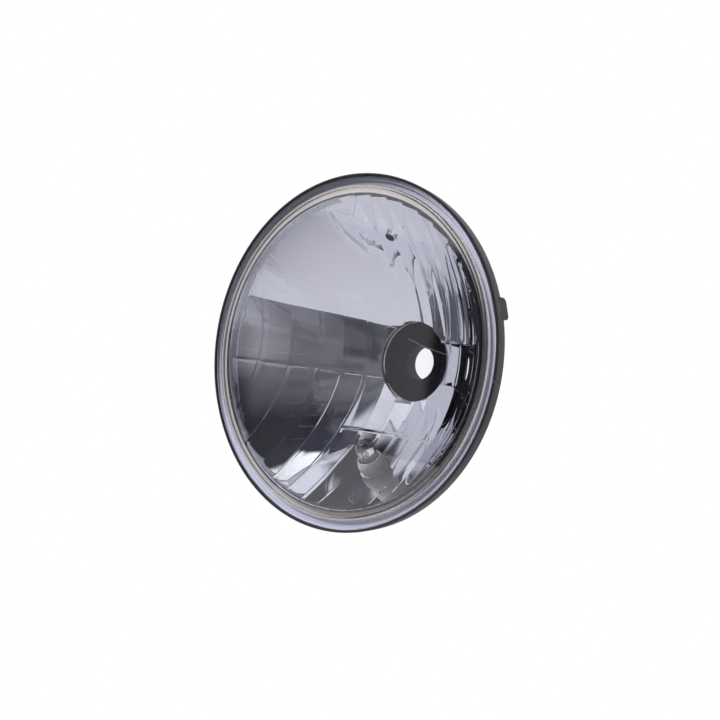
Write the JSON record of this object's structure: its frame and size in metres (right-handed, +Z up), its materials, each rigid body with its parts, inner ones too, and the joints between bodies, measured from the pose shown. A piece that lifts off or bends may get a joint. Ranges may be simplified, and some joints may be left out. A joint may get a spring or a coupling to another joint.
{
  "type": "round motorcycle headlight",
  "caption": "Round motorcycle headlight insert: a clear domed lens bonded into the rim of a faceted reflector bowl, with a bulb seat, wire clip, rubber boot and position lamp.",
  "frame": {"origin": "on the lamp's axis, in the plane of the rear face of the rim, which seats in the headlamp shell", "axes": "the lens faces -Y and the bulb end +Y along the lamp's axis, +Z up, +X to the right as seen from the front"},
  "size_m": [0.178, 0.0817, 0.178],
  "materials": {
    "clear_lens": "clear moulded polycarbonate, hard coated",
    "sealant": "grey beige butyl sealant, matte",
    "reflector": "black moulded plastic, with a vacuum coated aluminium mirror on its inner face",
    "plated_steel": "zinc plated pressed steel",
    "rivet_alloy": "plain",
    "spring_wire": "drawn spring steel wire",
    "black_rubber": "matte moulded rubber",
    "milky_plastic": "translucent milky moulding",
    "contact_brass": "stamped strip",
    "bulb_glass": "clear blown glass",
    "filament_wire": "drawn wire",
    "membrane": "woven vent membrane"
  },
  "bodies": {
    "root": {"lens": "clear_lens", "sealant_bead": "sealant", "reflector_body": "reflector", "bulb_seat_ring": "plated_steel", "seat_rivets": "rivet_alloy", "bulb_clip": "spring_wire", "clip_washer": "plated_steel", "clip_screw": "plated_steel", "rubber_boot": "black_rubber", "position_holder": "milky_plastic", "position_grommet": "black_rubber", "position_contact_left": "contact_brass", "position_contact_right": "contact_brass", "position_bulb_glass": "bulb_glass", "position_filament": "filament_wire", "position_lead_left": "filament_wire", "position_lead_right": "filament_wire", "vent_cap": "black_rubber", "vent_membrane": "membrane"}
  },
  "joints": []
}
